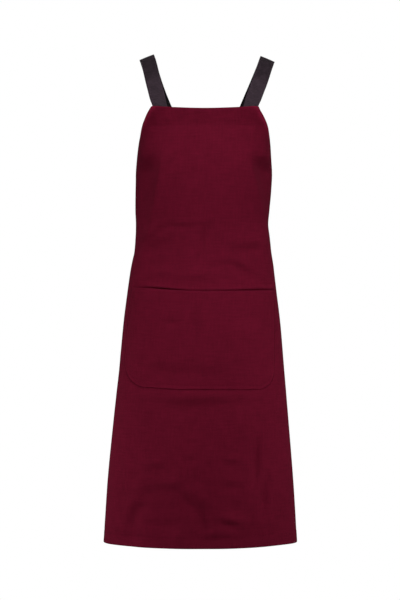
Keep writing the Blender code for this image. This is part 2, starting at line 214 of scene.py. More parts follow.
# ---------------------------------------------------------------- curves through tables
def through(knots, values, at):
    """A smooth curve through the table's points that never overshoots between two of them."""
    knots, values, at = (np.asarray(each, float) for each in (knots, values, at))
    if knots[0] > knots[-1]:
        knots, values = knots[::-1], values[::-1]
    step = np.diff(knots)
    rise = np.diff(values) / step
    slope = np.zeros(len(knots))
    slope[0], slope[-1] = rise[0], rise[-1]
    before, after = rise[:-1], rise[1:]
    turning = before * after > 0
    near, far = 2 * step[1:] + step[:-1], step[1:] + 2 * step[:-1]
    joined = np.where(turning, before * after, 1.0)
    slope[1:-1] = np.where(turning, (near + far) * joined / (near * after + far * before + (~turning)), 0.0)
    at = np.clip(at, knots[0], knots[-1])
    index = np.clip(np.searchsorted(knots, at, side="right") - 1, 0, len(step) - 1)
    part = (at - knots[index]) / step[index]
    return (
        values[index] * (1 + 2 * part) * (1 - part) ** 2
        + slope[index] * step[index] * part * (1 - part) ** 2
        + values[index + 1] * part**2 * (3 - 2 * part)
        + slope[index + 1] * step[index] * part**2 * (part - 1)
    )


def spline(knots, values, at):
    """A natural cubic spline through the knots."""
    knots, values = np.asarray(knots, float), np.asarray(values, float)
    step, rise = np.diff(knots), np.diff(values) / np.diff(knots)
    count = len(knots)
    matrix, target = np.eye(count), np.zeros(count)
    for place in range(1, count - 1):
        matrix[place, place - 1 : place + 2] = (step[place - 1], 2 * (step[place - 1] + step[place]), step[place])
        target[place] = 6 * (rise[place] - rise[place - 1])
    bend = np.linalg.solve(matrix, target)
    index = np.clip(np.searchsorted(knots, at, side="right") - 1, 0, count - 2)
    width, low, high = step[index], at - knots[index], knots[index + 1] - at
    return (
        bend[index] * high**3 / (6 * width)
        + bend[index + 1] * low**3 / (6 * width)
        + (values[index] / width - bend[index] * width / 6) * high
        + (values[index + 1] / width - bend[index + 1] * width / 6) * low
    )


def fade(at, start, end):
    """0 at start, 1 at end, and level at both."""
    part = np.clip((at - start) / (end - start), 0.0, 1.0)
    return part * part * (3 - 2 * part)


def column(name, height):
    place = SECTION_COLUMNS.index(name)
    return through([row[0] for row in SECTIONS], [row[place] for row in SECTIONS], height)


# ---------------------------------------------------------------- the worn surface
def on_section(angle, height):
    """Points of the level section at this height, at this angle from the front middle."""
    depth = np.where(np.cos(angle) > 0, column("front", height), column("back", height))
    power = column("squareness", height)
    across = np.abs(np.sin(angle)) / column("half_width", height)
    along = np.abs(np.cos(angle)) / depth
    reach = (across**power + along**power) ** (-1.0 / power)
    return np.stack(
        [column("centre", height) + reach * np.sin(angle), -reach * np.cos(angle), height + 0 * angle],
        axis=-1,
    )


def angle_at_front(x, height):
    """Angle from the front middle at which the front of the section has this x."""
    right = np.clip((x - column("centre", height)) / column("half_width", height), -0.999, 0.999)
    power = column("squareness", height)
    ahead = column("front", height) * (1 - np.abs(right) ** power) ** (1 / power)
    return np.arctan2(right * column("half_width", height), ahead)


def angle_at_back(x, height):
    right = np.clip((x - column("centre", height)) / column("half_width", height), -0.999, 0.999)
    power = column("squareness", height)
    behind = column("back", height) * (1 - np.abs(right) ** power) ** (1 / power)
    return np.arctan2(right * column("half_width", height), -behind)


def front_x(ends, height):
    return ends[0] + ends[1] * (BIB_TOP - height)


def mouth_height(place):
    """Height of the pocket mouth, for a place from -1 at its left end to 1 at its right."""
    left, middle, right = POCKET_MOUTH
    return POCKET_TOP + middle + np.where(place < 0, left - middle, right - middle) * np.abs(place) ** 1.6


def relief(points, at_mouth):
    """How far the cloth stands out from the plain worn surface at these points."""
    x, y, z = points[..., 0], points[..., 1], points[..., 2]
    total = np.zeros(points.shape[:-1])
    place = (x + 8.5) / 140.0
    across = (z - mouth_height(place) - 1.2) / 4.8
    roll = sum(much * np.exp(-(((x - where) / spread) ** 2)) for where, spread, much in MOUTH_CREASES)
    total += at_mouth * roll * fade(np.abs(place), 1.10, 0.98) * across * np.exp(-(across**2))
    for _, fold_x, fold_z, half_length, half_width, turn, depth, roll in FOLDS:
        turn = math.radians(turn)
        right, up = x - fold_x, z - fold_z
        along = (right * math.cos(turn) + up * math.sin(turn)) / half_length
        across = (up * math.cos(turn) - right * math.sin(turn)) / half_width
        total += (depth + roll * across) * np.exp(-(along**2 + across**2))
    total = total * np.clip(-y / 30.0 + 0.5, 0.0, 1.0)
    # Where the strap ends lie behind the bib they lift the cloth a little.
    for ends in (STRAP_LEFT_ENDS, STRAP_RIGHT_ENDS):
        beside = np.abs(x - front_x(ends, z)) - STRAP_WIDTH / 2 / math.cos(math.atan(ends[1]))
        total += 1.1 * (y < 0) * fade(beside, 2.0, -2.0) * fade(z, BIB_TOP - FRONT_LAP - 2.0, BIB_TOP - FRONT_LAP + 2.0)
    # Slow waves that no length of hanging cloth is without.
    turn = np.arctan2(x - column("centre", z), -y)
    low = fade(z, -520.0, HEM)
    total += low * (1.2 * np.sin(turn * 7.0 + 0.6) * np.sin(z * 0.004 + 1.0) + 0.8 * np.sin(turn * 12.0 + 2.1 + z * 0.004))
    total += np.clip(y / 40.0, 0.0, 1.0) * low * 3.0 * np.sin(turn * 9.0 + 0.4)
    return total


def turned_back(points):
    """How far back the cloth has sunk in the hollows beside the bust."""
    x, y, z = points[..., 0], points[..., 1], points[..., 2]
    total = np.zeros(points.shape[:-1])
    for _, side, top, full, bottom, inner_top, inner_bottom, slope in HOLLOWS:
        inner = inner_top + (inner_bottom - inner_top) * np.clip((z - top) / (bottom - top), 0.0, 1.0)
        away = np.maximum(side * x - inner, 0.0)
        knee = 5.0
        away = np.where(away < knee, away**2 / (2 * knee), away - knee / 2)
        away = 28.0 * np.tanh(away / 28.0)
        total += slope * away * fade(z, top, full) * (1 - fade(z, full - 60.0, bottom))
    # The sides themselves stay where they are.
    return total * np.clip(-y / 100.0, 0.0, 1.0)


def worn(angle, height, at_mouth=1.0):
    """The middle of the worn cloth, with or without the roll of the panel at the pocket mouth."""
    step = 0.01
    points = on_section(angle, height)
    round_way = on_section(angle + step, height) - on_section(angle - step, height)
    down_way = on_section(angle, height - 1.0) - on_section(angle, height + 1.0)
    normal = np.cross(down_way, round_way)
    normal /= np.linalg.norm(normal, axis=-1, keepdims=True)
    shaped = points + normal * relief(points, at_mouth)[..., None]
    shaped[..., 1] += turned_back(points)
    # At the hem the cloth rises a little where it turns towards the sides.
    aside = np.abs(angle) - 1.05
    rise = np.where(angle > 0, 1.6, 1.0) * np.exp(-((aside / 0.36) ** 2))
    shaped[..., 2] += rise * fade(height, HEM + 120.0, HEM)
    return shaped


def surface(angle, height, offset=0.0, at_mouth=1.0):
    """The worn cloth's middle, moved out along its own normal by offset."""
    step = 0.004
    angle, height = np.broadcast_arrays(np.asarray(angle, float), np.asarray(height, float))
    round_way = worn(angle + step, height, at_mouth) - worn(angle - step, height, at_mouth)
    down_way = worn(angle, height - 0.6, at_mouth) - worn(angle, height + 0.6, at_mouth)
    normal = np.cross(down_way, round_way)
    normal /= np.linalg.norm(normal, axis=-1, keepdims=True)
    return worn(angle, height, at_mouth) + normal * (offset + np.zeros(angle.shape))[..., None]


# ---------------------------------------------------------------- meshes from grids
def grid_normals(grid):
    down = np.gradient(grid, axis=0)
    across = np.gradient(grid, axis=1)
    normal = np.cross(down, across)
    return normal / np.maximum(np.linalg.norm(normal, axis=-1, keepdims=True), 1e-9)


def flat_places(grid):
    """Where each point of the grid lies on the flat cloth: across from the middle and down."""
    across = np.linalg.norm(np.diff(grid, axis=1), axis=2)
    across = np.concatenate([np.zeros((len(grid), 1)), np.cumsum(across, axis=1)], axis=1)
    middle = grid.shape[1] // 2
    across = across - across[:, middle : middle + 1]
    down = np.linalg.norm(np.diff(grid[:, middle], axis=0), axis=1)
    down = np.concatenate([[0.0], np.cumsum(down)])
    return np.stack([across, -np.repeat(down[:, None], grid.shape[1], axis=1)], axis=-1)


def to_rim(grid, sides):
    """Distance of each point from the nearest point of the named rims of the grid."""
    lines = {"left": grid[:, 0], "right": grid[:, -1], "bottom": grid[-1], "top": grid[0]}
    rim = np.concatenate([lines[side] for side in sides])
    flat = grid.reshape(-1, 3)
    nearest = np.empty(len(flat))
    for start in range(0, len(flat), 2000):
        part = flat[start : start + 2000]
        nearest[start : start + 2000] = np.sqrt(((part[:, None] - rim[None]) ** 2).sum(-1).min(1))
    return nearest.reshape(grid.shape[:2])


def cloth_mesh(name, grid, wall, places=None, values=None):
    """A closed cloth of this wall about the grid, with its flat places as UV and named values."""
    normal = grid_normals(grid)
    rows, columns = grid.shape[:2]
    wall = np.broadcast_to(np.asarray(wall, float), (rows, columns))[..., None]
    outer, inner = grid + normal * wall / 2, grid - normal * wall / 2
    points = np.concatenate([outer.reshape(-1, 3), inner.reshape(-1, 3)]) * MM
    index = np.arange(rows * columns).reshape(rows, columns)
    front = np.stack([index[:-1, :-1], index[1:, :-1], index[1:, 1:], index[:-1, 1:]], axis=-1).reshape(-1, 4)
    behind = front[:, ::-1] + rows * columns
    rim = np.concatenate([index[0, :], index[1:, -1], index[-1, -2::-1], index[-2:0:-1, 0]])
    after = np.roll(rim, -1)
    edge = np.stack([rim, after, after + rows * columns, rim + rows * columns], axis=-1)
    faces = np.concatenate([front, behind, edge])
    mesh = bpy.data.meshes.new(name)
    mesh.from_pydata(points.tolist(), [], faces.tolist())
    places = flat_places(grid) if places is None else places
    both = np.concatenate([places.reshape(-1, 2), places.reshape(-1, 2)]) * MM
    layer = mesh.uv_layers.new(name="flat")
    layer.data.foreach_set("uv", both[faces.reshape(-1)].astype(np.float32).ravel())
    for key, each in (values or {}).items():
        attribute = mesh.attributes.new(key, "FLOAT", "POINT")
        attribute.data.foreach_set("value", np.concatenate([each.ravel(), each.ravel()]).astype(np.float32) * MM)
    mesh.polygons.foreach_set("use_smooth", np.ones(len(faces), bool))
    # The second material, where there is one, is the reverse side's.
    which = np.zeros(len(faces), np.int32)
    which[len(front) : len(front) + len(behind)] = 1
    mesh.update()
    thing = bpy.data.objects.new(name, mesh)
    bpy.context.scene.collection.objects.link(thing)
    return thing, which


def stitches(name, lines, length=2.5, gap=1.1, width=0.55, lift=0.1):
    """A row of thread stitches along each line of (point, outward normal) pairs."""
    ring = 5
    shape = ((-0.5, 0.25), (-0.36, 0.85), (0.0, 1.0), (0.36, 0.85), (0.5, 0.25))
    points, faces = [], []
    for line, outward in lines:
        run = np.concatenate([[0.0], np.cumsum(np.linalg.norm(np.diff(line, axis=0), axis=1))])
        count = int(run[-1] / (length + gap))
        for number in range(count):
            middle = (number + 0.5) * run[-1] / count
            ends = [np.array([np.interp(middle + half * length, run, line[:, axis]) for axis in range(3)]) for half in (-0.5, 0.5)]
            out = np.array([np.interp(middle, run, outward[:, axis]) for axis in range(3)])
            way = ends[1] - ends[0]
            way /= np.linalg.norm(way)
            out = out - way * out.dot(way)
            out /= np.linalg.norm(out)
            side = np.cross(way, out)
            centre = (ends[0] + ends[1]) / 2 + out * lift
            start = len(points)
            for along, radius in shape:
                sink = -0.30 * (1 - radius)
                for step in range(ring):
                    turn = 2 * math.pi * step / ring
                    points.append(
                        centre
                        + way * along * length
                        + out * (sink + math.cos(turn) * radius * width / 2 * 0.8)
                        + side * math.sin(turn) * radius * width / 2
                    )
            for level in range(len(shape) - 1):
                for step in range(ring):
                    here, there = start + level * ring + step, start + level * ring + (step + 1) % ring
                    faces.append((here, there, there + ring, here + ring))
            faces.append(tuple(start + step for step in reversed(range(ring))))
            faces.append(tuple(start + (len(shape) - 1) * ring + step for step in range(ring)))
    mesh = bpy.data.meshes.new(name)
    mesh.from_pydata((np.array(points) * MM).tolist(), [], faces)
    mesh.polygons.foreach_set("use_smooth", np.ones(len(faces), bool))
    mesh.update()
    thing = bpy.data.objects.new(name, mesh)
    bpy.context.scene.collection.objects.link(thing)
    return thing


# ---------------------------------------------------------------- materials
class Nodes:
    """A short way to write a material's nodes."""

    def __init__(self, name):
        self.material = bpy.data.materials.new(name)
        self.material.use_nodes = True
        self.tree = self.material.node_tree
        self.shader = self.tree.nodes["Principled BSDF"]

    def add(self, kind, **settings):
        node = self.tree.nodes.new(kind)
        for key, value in settings.items():
            setattr(node, key, value)
        return node

    def link(self, start, end):
        self.tree.links.new(start, end)

    def math(self, operation, first, second=None, third=None, clamp=False):
        node = self.add("ShaderNodeMath", operation=operation, use_clamp=clamp)
        for place, value in enumerate((first, second, third)):
            if value is None:
                continue
            if isinstance(value, (int, float)):
                node.inputs[place].default_value = value
            else:
                self.link(value, node.inputs[place])
        return node.outputs[0]

    def total(self, *parts):
        """The sum of (value, weight) pairs, each about its own middle of a half."""
        result = None
        for value, weight in parts:
            part = self.math("MULTIPLY", self.math("SUBTRACT", value, 0.5), weight)
            result = part if result is None else self.math("ADD", result, part)
        return result

    def value(self, name):
        return self.add("ShaderNodeAttribute", attribute_name=name).outputs["Fac"]

    def mix(self, factor, first, second, blend="MIX"):
        node = self.add("ShaderNodeMix", data_type="RGBA", blend_type=blend)
        for place, value in ((0, factor), (6, first), (7, second)):
            if isinstance(value, (int, float)):
                node.inputs[place].default_value = value
            elif isinstance(value, tuple):
                node.inputs[place].default_value = (*value, 1.0)
            else:
                self.link(value, node.inputs[place])
        return node.outputs[2]

    def noise(self, where, scale, detail=2.0, rough=0.5, stretch=(1, 1, 1), turn=0.0):
        spread = self.add("ShaderNodeMapping")
        spread.inputs["Scale"].default_value = stretch
        spread.inputs["Rotation"].default_value = (0, 0, turn)
        self.link(where, spread.inputs["Vector"])
        node = self.add("ShaderNodeTexNoise")
        node.inputs["Scale"].default_value = scale
        node.inputs["Detail"].default_value = detail
        node.inputs["Roughness"].default_value = rough
        self.link(spread.outputs[0], node.inputs["Vector"])
        return node.outputs["Fac"]

    def waves(self, where, period, turn, distortion=0.0, detail_scale=1.0):
        """Bands of this period, in metres, across this direction."""
        spread = self.add("ShaderNodeMapping")
        spread.inputs["Rotation"].default_value = (0, 0, turn)
        self.link(where, spread.inputs["Vector"])
        node = self.add("ShaderNodeTexWave", wave_type="BANDS", bands_direction="X")
        node.inputs["Scale"].default_value = 0.31416 / period
        node.inputs["Distortion"].default_value = distortion
        node.inputs["Detail"].default_value = 1.0
        node.inputs["Detail Scale"].default_value = detail_scale
        self.link(spread.outputs[0], node.inputs["Vector"])
        return node.outputs["Fac"]

    def groove(self, distance, at, width):
        """1 on the line at this distance from an edge, falling to 0 within about its width."""
        away = self.math("DIVIDE", self.math("SUBTRACT", distance, at), width)
        return self.math("EXPONENT", self.math("MULTIPLY", self.math("MULTIPLY", away, away), -1.0))

    def band(self, distance, end, width):
        """1 from the edge as far as end, then 0."""
        return self.math("SUBTRACT", 1.0, self.math("DIVIDE", self.math("SUBTRACT", distance, end - width), 2 * width, clamp=True))

    def largest(self, parts):
        result = None
        for part in parts:
            result = part if result is None else self.math("MAXIMUM", result, part)
        return result

    def finish(self, height, strength=1.0, distance=1.0):
        bump = self.add("ShaderNodeBump")
        bump.inputs["Strength"].default_value = strength
        bump.inputs["Distance"].default_value = distance
        self.link(height, bump.inputs["Height"])
        self.link(bump.outputs[0], self.shader.inputs["Normal"])
        return self.material


def twill_cloth(name, colour, seams, darker_bands, rims, lighter_rim, painted_edge_shade=0.0):
    """Cotton twill. seams lists (attribute, distance in metres, strength) of each stitched line."""
    made = Nodes(name)
    flat = made.add("ShaderNodeUVMap", uv_map="flat").outputs[0]
    twill = made.waves(flat, 0.0016, math.radians(62), 1.2, 2.0)
    across = made.waves(flat, 0.0009, 0.0, 0.8, 3.0)
    slub = made.noise(flat, 300.0, 2.0, 0.6, (1.0, 0.11, 1.0))
    slub_down = made.noise(flat, 280.0, 2.0, 0.6, (0.11, 1.0, 1.0))
    fleck = made.noise(flat, 700.0, 1.0, 0.5)
    mottle = made.noise(flat, 42.0, 3.0, 0.6)
    broad = made.noise(flat, 9.0, 2.0, 0.5)
    rumple = made.noise(flat, 20.0, 3.0, 0.5)

    tone = made.total((slub, 0.27), (slub_down, 0.32), (fleck, 0.40), (mottle, 0.26), (broad, 0.14), (twill, 0.12))
    stitched = made.largest([made.math("MULTIPLY", made.groove(made.value(key), at, 0.0011), much) for key, at, much in seams])
    worn_edge = made.largest([made.groove(made.value(key), 0.0, 0.0020) for key in rims])
    # Along each stitched line the cloth is painted darker: painted shade in the stitched groove.
    tone = made.math("SUBTRACT", tone, made.math("MULTIPLY", stitched, 0.10))
    tone = made.math("ADD", tone, made.math("MULTIPLY", made.math("MULTIPLY", worn_edge, fleck), 0.16))
    # A lighter line about a millimetre inside each rim: partly rubbed wear, partly a painted highlight where the turned
    # edge catches the light.
    rim = made.largest([made.groove(made.value(key), 0.0010, 0.0026) for key in rims])
    tone = made.math("ADD", tone, made.math("MULTIPLY", rim, lighter_rim))
    # The outermost millimetre of each rim is painted darker: painted shade on the turned edge.
    edge_shade_mask = made.largest([made.groove(made.value(key), 0.0, 0.0010) for key in rims])
    tone = made.math("SUBTRACT", tone, made.math("MULTIPLY", edge_shade_mask, painted_edge_shade))
    for key, end, much in darker_bands:
        # Each listed band inside a hem is made darker.
        tone = made.math("SUBTRACT", tone, made.math("MULTIPLY", made.band(made.value(key), end, 0.005), much))
        # Beside the darker band the armholes' edges are painted lighter in mottled patches: painted light where the
        # cloth turns away at the armholes.
        painted_armhole_light = made.math("MULTIPLY", made.groove(made.value("to_sides"), 0.0, 0.0090), made.band(made.value(key), 2 * end, 0.030))
        tone = made.math("ADD", tone, made.math("MULTIPLY", made.math("MULTIPLY", painted_armhole_light, made.math("ADD", mottle, fleck)), 0.62))
    light = tuple(min(1.0, each * 1.6) for each in colour)
    dark = tuple(each * 0.4 for each in colour)
    made.link(made.mix(made.math("ADD", tone, 0.5, clamp=True), dark, light), made.shader.inputs["Base Color"])

    pucker = made.noise(flat, 110.0, 1.0, 0.5)
    near = made.largest([made.math("MULTIPLY", made.groove(made.value(key), at * 0.7, max(0.003, at * 0.4)), much) for key, at, much in seams])
    height = made.total(
        (twill, 0.00008), (across, 0.00004), (slub, 0.00016), (slub_down, 0.00014), (mottle, 0.00036), (rumple, 0.0009)
    )
    height = made.math("SUBTRACT", height, made.math("MULTIPLY", stitched, 0.00020))
    height = made.math("ADD", height, made.math("MULTIPLY", made.math("MULTIPLY", near, pucker), 0.0006))
    made.link(made.math("ADD", 0.82, made.math("MULTIPLY", mottle, 0.14)), made.shader.inputs["Roughness"])
    made.shader.inputs["Specular IOR Level"].default_value = 0.03
    made.shader.inputs["Specular Tint"].default_value = (*CLOTH_SHEEN, 1.0)
    made.shader.inputs["Sheen Weight"].default_value = 0.03
    made.shader.inputs["Sheen Roughness"].default_value = 0.45
    made.shader.inputs["Sheen Tint"].default_value = (*CLOTH_SHEEN, 1.0)
    return made.finish(height)


def woven_tape(name, colour):
    """Twill tape with a raised selvedge on both edges."""
    made = Nodes(name)
    flat = made.add("ShaderNodeUVMap", uv_map="flat").outputs[0]
    parts = made.add("ShaderNodeSeparateXYZ")
    made.link(flat, parts.inputs[0])
    beside = made.math("ABSOLUTE", parts.outputs[0])
    folded = made.add("ShaderNodeCombineXYZ")
    # The twill turns over every 8 mm, which gives the tape its herringbone.
    made.link(made.math("PINGPONG", beside, 0.004), folded.inputs[0])
    made.link(parts.outputs[1], folded.inputs[1])
    bone = made.waves(folded.outputs[0], 0.0018, math.radians(50), 0.5, 2.0)
    ribs = made.waves(flat, 0.0031, math.radians(90), 2.0, 3.0)
    slub = made.noise(flat, 420.0, 2.0, 0.5, (0.16, 1.0, 1.0))
    fleck = made.noise(flat, 800.0, 1.0, 0.5)
    mottle = made.noise(flat, 70.0, 3.0, 0.6)
    edge = made.groove(beside, STRAP_WIDTH / 2 * MM, 0.0016)
    tone = made.total((bone, 0.28), (ribs, 0.30), (slub, 0.50), (fleck, 0.50), (mottle, 0.60), (edge, 0.12))
    # Over the shoulder, where the tape turns up over the crest, it is painted darker: painted shade.
    along = parts.outputs[1]
    shoulder_shade_start = made.math("DIVIDE", made.math("SUBTRACT", along, 0.096), 0.016, clamp=True)
    shoulder_shade_end = made.math("SUBTRACT", 1.0, made.math("DIVIDE", made.math("SUBTRACT", along, 0.21), 0.06, clamp=True))
    tone = made.math("SUBTRACT", tone, made.math("MULTIPLY", made.math("MULTIPLY", shoulder_shade_start, shoulder_shade_end), 0.24))
    light = tuple(each * 1.65 for each in colour)
    dark = tuple(each * 0.35 for each in colour)
    made.link(made.mix(made.math("ADD", tone, 0.56, clamp=True), dark, light), made.shader.inputs["Base Color"])
    height = made.total((bone, 0.00016), (ribs, 0.00012), (slub, 0.00012), (mottle, 0.0005), (edge, 0.0003))
    made.link(made.math("ADD", 0.66, made.math("MULTIPLY", mottle, 0.20)), made.shader.inputs["Roughness"])
    made.shader.inputs["Specular IOR Level"].default_value = 0.12
    made.shader.inputs["Sheen Weight"].default_value = 0.02
    made.shader.inputs["Sheen Roughness"].default_value = 0.5
    return made.finish(height)


def thread(name, colour):
    """Spun sewing thread: a twist of light and dark along each stitch."""
    made = Nodes(name)
    where = made.add("ShaderNodeTexCoord").outputs["Object"]
    twist = made.noise(where, 1500.0, 1.0, 0.5)
    wear = made.noise(where, 60.0, 2.0, 0.5)
    tone = made.total((twist, 0.7), (wear, 0.3))
    light = tuple(min(1.0, each * 1.6) for each in colour)
    dark = tuple(each * 0.5 for each in colour)
    made.link(made.mix(made.math("ADD", tone, 0.5, clamp=True), dark, light), made.shader.inputs["Base Color"])
    made.link(made.math("ADD", 0.60, made.math("MULTIPLY", wear, 0.2)), made.shader.inputs["Roughness"])
    made.shader.inputs["Specular IOR Level"].default_value = 0.08
    made.shader.inputs["Specular Tint"].default_value = (*CLOTH_SHEEN, 1.0)
    return made.finish(made.math("MULTIPLY", twist, 0.00008))


# ---------------------------------------------------------------- the panel
OUTER_COLUMNS = 150
# How many rows down to each height, closest where the pocket mouth and the folds of the skirt lie.
ROW_COUNTS = ((-200.0, 38), (-470.0, 76), (-500.0, 20), (-686.0, 30), (-1008.5, 96))


def turned_edge(depth):
    """The turn of a hem from its fold to its inner end: beyond the fold, offset, way from the fold."""
    radius = FOLD_RADIUS
    turn = [(radius * math.sin(a), -radius * (1 - math.cos(a)), 0.0) for a in (math.pi / 4, math.pi / 2, 3 * math.pi / 4)]
    inside = [(-depth * part, -2 * radius, depth * part) for part in (0.0, 0.25, 0.5, 0.75, 1.0)]
    return np.array(turn + inside)


def panel_parameters():
    """Angle, height, offset and the three ways from the folds, for every point of the panel."""
    # The turned edges stand this far beyond the first and the last row.
    heights = np.array([BIB_TOP - FOLD_RADIUS - CLOTH_WALL / 2])
    for down_to, count in ROW_COUNTS:
        heights = np.concatenate([heights, np.linspace(heights[-1], down_to, count + 1)[1:]])
    top, bottom, side = turned_edge(TOP_FACING + 3.0), turned_edge(BOTTOM_HEM + 3.0), turned_edge(SIDE_HEM + 2.5)
    row_height = np.concatenate([heights[0] + top[::-1, 0], heights, heights[-1] - bottom[:, 0]])
    row_offset = np.concatenate([top[::-1, 1], 0 * heights, bottom[:, 1]])
    row_top = np.concatenate([top[::-1, 2], BIB_TOP - heights, BIB_TOP - HEM + bottom[:, 2]])
    row_bottom = np.concatenate([BIB_TOP - HEM + top[::-1, 2], heights - HEM, bottom[:, 2]])
    across = np.linspace(-1.0, 1.0, OUTER_COLUMNS + 1)
    # The columns crowd a little towards the front, which shows most.
    across = 0.80 * across + 0.20 * across**3
    place = np.concatenate([-np.ones(len(side)), across, np.ones(len(side))])
    beyond = np.concatenate([-side[::-1, 0], 0 * across, side[:, 0]])
    column_offset = np.concatenate([side[::-1, 1], 0 * across, side[:, 1]])
    column_side = np.concatenate([side[::-1, 2], 1e6 + 0 * across, side[:, 2]])

    height, place = np.meshgrid(row_height, place, indexing="ij")
    height = height - BIB_TOP_SAG * (1 - place**2) * np.clip((height + 160.0) / 52.0, 0.0, 1.0)
    edge = np.radians(column("edge", height))
    angle = edge * place
    # Beyond the edge, and inside it, the hem is stepped square to the edge's own run.
    run = worn(edge, height)
    way = np.gradient(run[:, -1], axis=0)
    way /= np.maximum(np.linalg.norm(way, axis=1, keepdims=True), 1e-9)
    round_way = worn(edge[:, -1] + 0.005, height[:, -1]) - worn(edge[:, -1] - 0.005, height[:, -1])
    reach = np.linalg.norm(round_way, axis=1)
    square = np.sqrt(np.clip(1 - ((way * round_way).sum(1) / reach) ** 2, 0.16, 1.0))
    angle = angle + (0.01 / (reach * square))[:, None] * beyond[None]
    offset = row_offset[:, None] + column_offset[None]
    outer = worn(angle, height)
    rows = slice(len(top), len(top) + len(heights))
    columns = slice(len(side), len(side) + len(across))
    to_sides = np.repeat(column_side[None], len(row_height), axis=0)
    measured = to_rim(outer[rows, columns], ("left", "right"))
    to_sides[rows, columns] = measured
    to_sides[: len(top), columns] = measured[0]
    to_sides[rows.stop :, columns] = measured[-1]
    to_top = np.repeat(row_top[:, None], len(place[0]), axis=1)
    to_bottom = np.repeat(row_bottom[:, None], len(place[0]), axis=1)
    return angle, height, offset, to_sides, to_top, to_bottom, rows, columns


angle, height, offset, to_sides, to_top, to_bottom, outer_rows, outer_columns = panel_parameters()
# Inside its hems the cloth lies doubled, so it also stands out a little further there.
swell = 0.35 * np.maximum(
    np.maximum(fade(to_sides, SIDE_HEM + 2.0, SIDE_HEM - 2.0), fade(to_bottom, BOTTOM_HEM + 2.0, BOTTOM_HEM - 2.0)),
    fade(to_top, TOP_FACING + 2.0, TOP_FACING - 2.0),
)
panel_points = surface(angle, height, offset + swell)
apron_cloth, _ = cloth_mesh(
    "apron_cloth", panel_points, CLOTH_WALL, None, {"to_sides": to_sides, "to_bottom": to_bottom, "to_top": to_top}
)
apron_cloth.data.materials.append(
    twill_cloth(
        "burgundy_twill",
        CLOTH_COLOUR,
        (("to_sides", SIDE_HEM * MM, 0.4), ("to_bottom", BOTTOM_HEM * MM, 0.3), ("to_top", TOP_FACING * MM, 0.2)),
        (("to_top", TOP_FACING * MM, 0.110),),
        ("to_sides", "to_top"),
        0.14,
    )
)


# ---------------------------------------------------------------- seams on the panel
def along_surface(angle, height, offset):
    """A line on the cloth's outside and its outward normals."""
    line = surface(angle, height, offset)
    return line, surface(angle, height, np.asarray(offset) + 1.0) - line


def side_seam(side, inset):
    """The stitched line at this distance inside the armhole and back edge."""
    angles, heights = angle[outer_rows, outer_columns], height[outer_rows, outer_columns]
    ways = to_sides[outer_rows, outer_columns]
    half = angles.shape[1] // 2
    line = []
    for row in range(1, len(angles) - 1):
        if side < 0:
            away, turn, level = ways[row, :half], angles[row, :half], heights[row, :half]
        else:
            away, turn, level = ways[row, half:][::-1], angles[row, half:][::-1], heights[row, half:][::-1]
        line.append((np.interp(inset, away, turn), np.interp(inset, away, level)))
    line = np.array(line)
    return along_surface(line[:, 0], line[:, 1], CLOTH_WALL / 2 + 0.20)


def level_seam(start, inset, limit, sag):
    place = np.linspace(-limit, limit, 400)
    heights = start + inset - sag * (1 - place**2) * np.clip((start + inset + 160.0) / 52.0, 0.0, 1.0)
    return along_surface(np.radians(column("edge", heights)) * place, heights, CLOTH_WALL / 2 + 0.20)


panel_seams = [
    side_seam(-1, SIDE_HEM),
    side_seam(1, SIDE_HEM),
    level_seam(HEM, BOTTOM_HEM, 0.985, 0.0),
    level_seam(BIB_TOP, -TOP_FACING, 0.93, BIB_TOP_SAG),
]


# ---------------------------------------------------------------- the pocket
def pocket_grid(rows=76, columns=116):
    down = 1 - (1 - np.linspace(0.0, 1.0, rows + 1)) ** 1.7
    across = np.linspace(-1.0, 1.0, columns + 1)
    down, place = np.meshgrid(down, across, indexing="ij")
    mouth = mouth_height(place)
    bottom = POCKET_BOTTOM + POCKET_BOTTOM_RISE * fade(place, -0.35, -0.95)
    height = mouth + (bottom - mouth) * down
    level = POCKET_TOP + (POCKET_BOTTOM - POCKET_TOP) * down
    cuts = []
    for corner in POCKET_CORNERS:
        above = np.clip(corner - (level - POCKET_BOTTOM), 0.0, corner)
        cuts.append(corner - np.sqrt(corner**2 - above**2))
    knots = [row[0] for row in POCKET_SIDES]
    left_edge = np.radians(through(knots, [row[1] for row in POCKET_SIDES], level)) + cuts[0] / 150.0
    right_edge = np.radians(through(knots, [row[2] for row in POCKET_SIDES], level)) - cuts[1] / 150.0
    angle = left_edge + (right_edge - left_edge) * (place + 1) / 2
    slack = np.zeros(down.shape)
    for where, spread, distance in POCKET_SLACKS:
        slack += distance * np.exp(-(((place - where) / spread) ** 2))
    slack *= fade(np.abs(place), 1.0, 0.90) * (1 - down) ** 2.2
    body = 3.6 * fade(np.abs(place), 1.0, 0.72) * np.sin(np.pi * np.clip(down, 0, 1)) ** 0.9
    return angle, height, slack + body


pocket_angle, pocket_height, pocket_out = pocket_grid()
pocket_points = surface(pocket_angle, pocket_height, POCKET_LIFT + pocket_out, 0.0)
pocket_to_seam = to_rim(pocket_points, ("left", "right", "bottom"))
pocket_to_mouth = to_rim(pocket_points, ("top",))
# Its turned edge is thicker than the single cloth inside it, and is sewn down flat.
pressed = 0.05 * fade(pocket_to_seam, 6.0, 0.0) * fade(pocket_to_mouth, 0.0, 14.0)
pocket_points = surface(pocket_angle, pocket_height, POCKET_LIFT + pocket_out - pressed, 0.0)
pocket_wall = 0.9 + 0.7 * np.maximum(fade(pocket_to_seam, 8.0, 5.0), fade(pocket_to_mouth, POCKET_HEM + 1.5, POCKET_HEM - 1.5))
pocket_cloth, _ = cloth_mesh(
    "pocket_cloth",
    pocket_points,
    pocket_wall,
    flat_places(pocket_points) + np.array([0.0, -420.0]),
    {"to_seam": pocket_to_seam, "to_mouth": pocket_to_mouth},
)
pocket_cloth.data.materials.append(
    twill_cloth(
        "burgundy_twill_pocket",
        CLOTH_COLOUR,
        (("to_seam", 0.0020, 0.5), ("to_seam", 0.0080, 0.2), ("to_mouth", POCKET_HEM * MM, 0.3)),
        (),
        ("to_seam",),
        0.16,
        0.60,
    )
)


